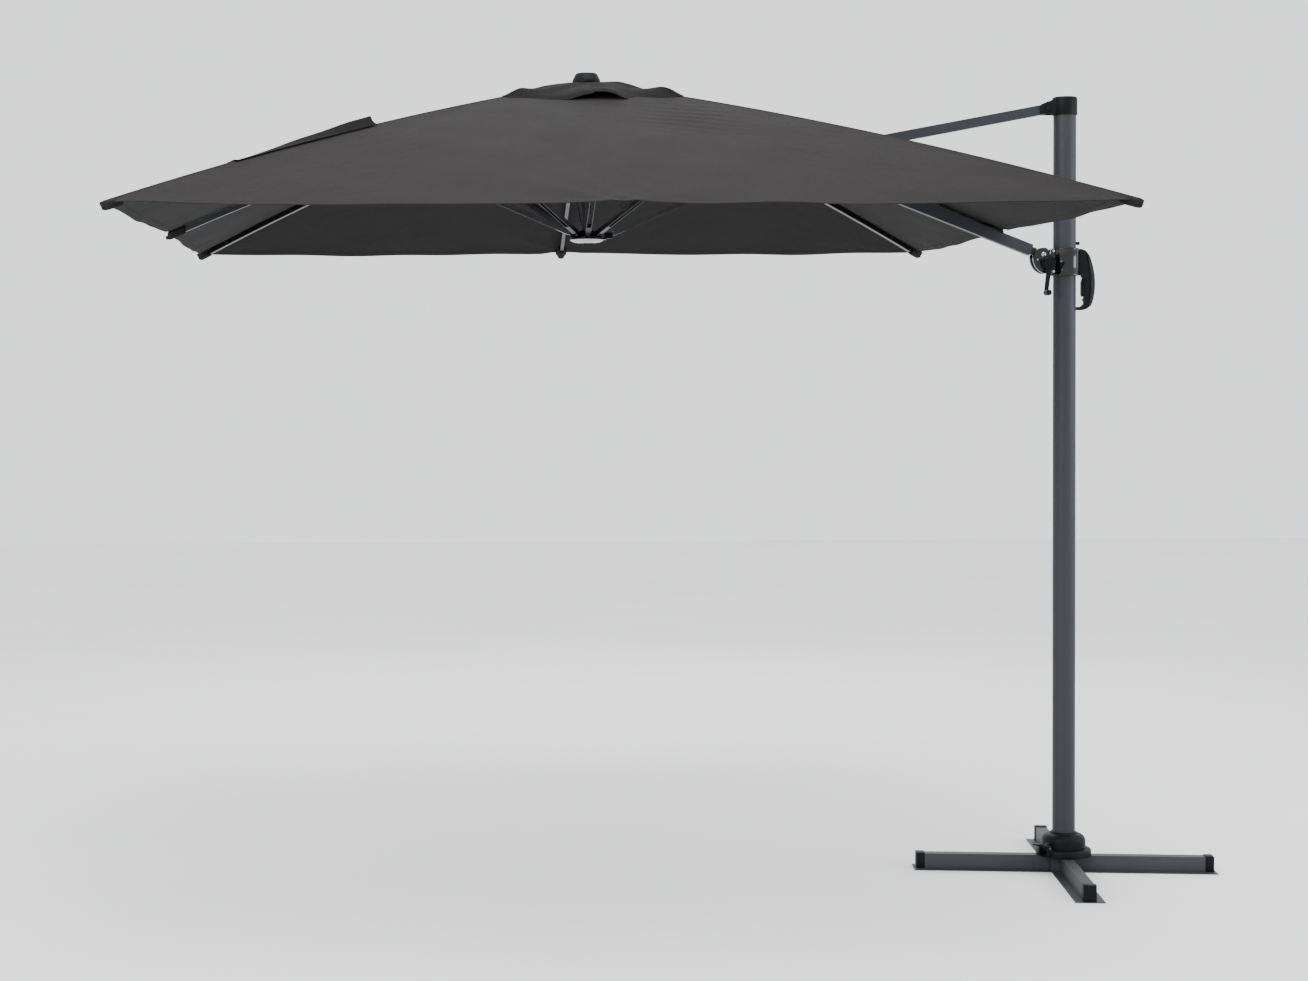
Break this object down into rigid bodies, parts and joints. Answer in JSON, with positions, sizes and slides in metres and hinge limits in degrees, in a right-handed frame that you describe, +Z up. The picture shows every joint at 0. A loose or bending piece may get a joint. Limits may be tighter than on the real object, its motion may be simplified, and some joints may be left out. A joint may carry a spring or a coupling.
{
  "type": "cantilever parasol",
  "caption": "Square side-post sunshade on a cross base: turning mast, sliding handle with crank, tilting boom and folding canopy.",
  "frame": {"origin": "on the ground under the mast axis", "axes": "+Z up along the mast, -X towards the canopy, front face towards -Y"},
  "size_m": [3.7243, 3, 2.829],
  "materials": {
    "frame_paint": "satin",
    "leg_paint": "satin",
    "dark_aluminium": "satin",
    "rib_aluminium": "satin",
    "gloss_black": "gloss",
    "matte_black": "matte",
    "cloth": "matte",
    "bright_steel": "satin"
  },
  "bodies": {
    "base": {"leg_right": "leg_paint", "leg_back": "leg_paint", "leg_left": "leg_paint", "leg_front": "leg_paint", "leg_end_caps": "matte_black", "leg_bolts": "bright_steel", "base_centre": "leg_paint", "fixed_ring": "matte_black", "pedal_pin": "bright_steel"},
    "pedal": {"lock_pedal": "matte_black"},
    "mast": {"mast_tube": "frame_paint", "turn_bushes": "matte_black", "foot_cover": "matte_black", "top_cap": "matte_black", "mast_pins": "bright_steel"},
    "slider": {"slider_collar": "gloss_black", "slider_liner": "matte_black", "slider_housing": "gloss_black", "slider_pins": "bright_steel", "pull_grip": "gloss_black"},
    "trigger": {"grip_trigger": "gloss_black"},
    "crank": {"crank_arm": "matte_black", "winch_drum": "matte_black"},
    "knob": {"crank_knob": "matte_black"},
    "boom": {"boom_tube": "dark_aluminium", "boom_foot": "dark_aluminium", "knee_pin": "bright_steel", "crown_hub": "matte_black", "centre_post": "rib_aluminium", "finial": "matte_black", "vent_cover": "cloth"},
    "link": {"link_tube": "dark_aluminium", "link_fork": "dark_aluminium"},
    "runner": {"runner": "gloss_black", "runner_ring": "bright_steel"},
    "rib_mast": {"rib_mast": "rib_aluminium", "cloth_mast": "cloth"},
    "brace_mast": {"brace_mast": "rib_aluminium"},
    "rib_back_right": {"rib_back_right": "rib_aluminium", "cloth_back_right": "cloth"},
    "brace_back_right": {"brace_back_right": "rib_aluminium"},
    "rib_back": {"rib_back": "rib_aluminium", "cloth_back": "cloth"},
    "brace_back": {"brace_back": "rib_aluminium"},
    "rib_back_left": {"rib_back_left": "rib_aluminium", "cloth_back_left": "cloth"},
    "brace_back_left": {"brace_back_left": "rib_aluminium"},
    "rib_outer": {"rib_outer": "rib_aluminium", "cloth_outer": "cloth"},
    "brace_outer": {"brace_outer": "rib_aluminium"},
    "rib_front_left": {"rib_front_left": "rib_aluminium", "cloth_front_left": "cloth", "tie_strap": "cloth"},
    "brace_front_left": {"brace_front_left": "rib_aluminium"},
    "rib_front": {"rib_front": "rib_aluminium", "cloth_front": "cloth"},
    "brace_front": {"brace_front": "rib_aluminium"},
    "rib_front_right": {"rib_front_right": "rib_aluminium", "cloth_front_right": "cloth"},
    "brace_front_right": {"brace_front_right": "rib_aluminium"}
  },
  "joints": [
    {"name": "mast_turn", "type": "hinge", "parent": "base", "child": "mast", "pos_m": [0, 0, 0.2], "axis": [0, 0, 1], "continuous": true},
    {"name": "pedal_press", "type": "hinge", "parent": "base", "child": "pedal", "pos_m": [-0.08393, -0.06797, 0.092], "axis": [0.6293, -0.7771, 0], "range_deg": [0, 16], "stiffness_Nm_per_rad": 4, "springref_deg": -8.59},
    {"name": "slider_lift", "type": "slide", "parent": "mast", "child": "slider", "axis": [0, 0, 1], "range_m": [-0.6, 0]},
    {"name": "boom_hinge", "type": "hinge", "parent": "slider", "child": "boom", "pos_m": [-0.082, 0, 2.187], "axis": [0, 1, 0], "range_deg": [0, 17.66]},
    {"name": "link_hinge", "type": "hinge", "parent": "mast", "child": "link", "pos_m": [-0.065, 0, 2.701], "axis": [0, 1, 0], "range_deg": [-24.23, 0]},
    {"name": "trigger_pull", "type": "hinge", "parent": "slider", "child": "trigger", "pos_m": [0.07, 0, 2.1], "axis": [0, 1, 0], "range_deg": [-8, 0], "stiffness_Nm_per_rad": 1, "springref_deg": 5.73},
    {"name": "canopy_fold", "type": "slide", "parent": "boom", "child": "runner", "axis": [0, 0, 1], "range_m": [-0.8799, 0]},
    {"name": "crank_turn", "type": "hinge", "parent": "slider", "child": "crank", "pos_m": [-0.068, 0, 2.156], "axis": [0, -1, 0], "range_deg": [0, 4034.3]},
    {"name": "knob_spin", "type": "hinge", "parent": "crank", "child": "knob", "pos_m": [-0.081, -0.08, 2.05], "axis": [0, -1, 0], "continuous": true},
    {"name": "rib_mast_hinge", "type": "hinge", "parent": "boom", "child": "rib_mast", "pos_m": [-1.614, 0.04, 2.76544], "axis": [0, 1, 0], "range_deg": [0, 58.53], "deforming": ["cloth_mast"]},
    {"name": "brace_mast_hinge", "type": "hinge", "parent": "runner", "child": "brace_mast", "pos_m": [-1.61, 0.04, 2.262], "axis": [0, 1, 0], "range_deg": [-53.97, 0]},
    {"name": "rib_back_right_hinge", "type": "hinge", "parent": "boom", "child": "rib_back_right", "pos_m": [-1.65157, 0.04243, 2.7713], "axis": [-0.7071, 0.7071, 0], "range_deg": [0, 62.1], "deforming": ["cloth_back_right"]},
    {"name": "brace_back_right_hinge", "type": "hinge", "parent": "runner", "child": "brace_back_right", "pos_m": [-1.66006, 0.03394, 2.262], "axis": [-0.7071, 0.7071, 0], "range_deg": [-46.04, 0]},
    {"name": "rib_back_hinge", "type": "hinge", "parent": "boom", "child": "rib_back", "pos_m": [-1.694, 0.06, 2.7713], "axis": [-1, 0, 0], "range_deg": [0, 58.79], "deforming": ["cloth_back"]},
    {"name": "brace_back_hinge", "type": "hinge", "parent": "runner", "child": "brace_back", "pos_m": [-1.694, 0.048, 2.262], "axis": [-1, 0, 0], "range_deg": [-52.87, 0]},
    {"name": "rib_back_left_hinge", "type": "hinge", "parent": "boom", "child": "rib_back_left", "pos_m": [-1.73643, 0.04243, 2.7713], "axis": [-0.7071, -0.7071, 0], "range_deg": [0, 62.1], "deforming": ["cloth_back_left"]},
    {"name": "brace_back_left_hinge", "type": "hinge", "parent": "runner", "child": "brace_back_left", "pos_m": [-1.72794, 0.03394, 2.262], "axis": [-0.7071, -0.7071, 0], "range_deg": [-46.04, 0]},
    {"name": "rib_outer_hinge", "type": "hinge", "parent": "boom", "child": "rib_outer", "pos_m": [-1.754, 0, 2.7713], "axis": [0, -1, 0], "range_deg": [0, 58.79], "deforming": ["cloth_outer"]},
    {"name": "brace_outer_hinge", "type": "hinge", "parent": "runner", "child": "brace_outer", "pos_m": [-1.742, 0, 2.262], "axis": [0, -1, 0], "range_deg": [-52.87, 0]},
    {"name": "rib_front_left_hinge", "type": "hinge", "parent": "boom", "child": "rib_front_left", "pos_m": [-1.73643, -0.04243, 2.7713], "axis": [0.7071, -0.7071, 0], "range_deg": [0, 62.1], "deforming": ["cloth_front_left", "tie_strap"]},
    {"name": "brace_front_left_hinge", "type": "hinge", "parent": "runner", "child": "brace_front_left", "pos_m": [-1.72794, -0.03394, 2.262], "axis": [0.7071, -0.7071, 0], "range_deg": [-46.04, 0]},
    {"name": "rib_front_hinge", "type": "hinge", "parent": "boom", "child": "rib_front", "pos_m": [-1.694, -0.06, 2.7713], "axis": [1, 0, 0], "range_deg": [0, 58.79], "deforming": ["cloth_front"]},
    {"name": "brace_front_hinge", "type": "hinge", "parent": "runner", "child": "brace_front", "pos_m": [-1.694, -0.048, 2.262], "axis": [1, 0, 0], "range_deg": [-52.87, 0]},
    {"name": "rib_front_right_hinge", "type": "hinge", "parent": "boom", "child": "rib_front_right", "pos_m": [-1.65157, -0.04243, 2.7713], "axis": [0.7071, 0.7071, 0], "range_deg": [0, 62.1], "deforming": ["cloth_front_right"]},
    {"name": "brace_front_right_hinge", "type": "hinge", "parent": "runner", "child": "brace_front_right", "pos_m": [-1.66006, -0.03394, 2.262], "axis": [0.7071, 0.7071, 0], "range_deg": [-46.04, 0]}
  ],
  "couplings": [
    {"joint": "boom_hinge", "follows": "slider_lift", "rad_per_m": -0.51303},
    {"joint": "link_hinge", "follows": "slider_lift", "rad_per_m": 0.70437},
    {"joint": "crank_turn", "follows": "canopy_fold", "rad_per_m": -80},
    {"joint": "rib_mast_hinge", "follows": "canopy_fold", "rad_per_m": -1.1605},
    {"joint": "brace_mast_hinge", "follows": "canopy_fold", "rad_per_m": 1.0701},
    {"joint": "rib_back_right_hinge", "follows": "canopy_fold", "rad_per_m": -1.2313},
    {"joint": "brace_back_right_hinge", "follows": "canopy_fold", "rad_per_m": 0.91283},
    {"joint": "rib_back_hinge", "follows": "canopy_fold", "rad_per_m": -1.1657},
    {"joint": "brace_back_hinge", "follows": "canopy_fold", "rad_per_m": 1.0482},
    {"joint": "rib_back_left_hinge", "follows": "canopy_fold", "rad_per_m": -1.2313},
    {"joint": "brace_back_left_hinge", "follows": "canopy_fold", "rad_per_m": 0.91283},
    {"joint": "rib_outer_hinge", "follows": "canopy_fold", "rad_per_m": -1.1657},
    {"joint": "brace_outer_hinge", "follows": "canopy_fold", "rad_per_m": 1.0482},
    {"joint": "rib_front_left_hinge", "follows": "canopy_fold", "rad_per_m": -1.2313},
    {"joint": "brace_front_left_hinge", "follows": "canopy_fold", "rad_per_m": 0.91283},
    {"joint": "rib_front_hinge", "follows": "canopy_fold", "rad_per_m": -1.1657},
    {"joint": "brace_front_hinge", "follows": "canopy_fold", "rad_per_m": 1.0482},
    {"joint": "rib_front_right_hinge", "follows": "canopy_fold", "rad_per_m": -1.2313},
    {"joint": "brace_front_right_hinge", "follows": "canopy_fold", "rad_per_m": 0.91283}
  ]
}
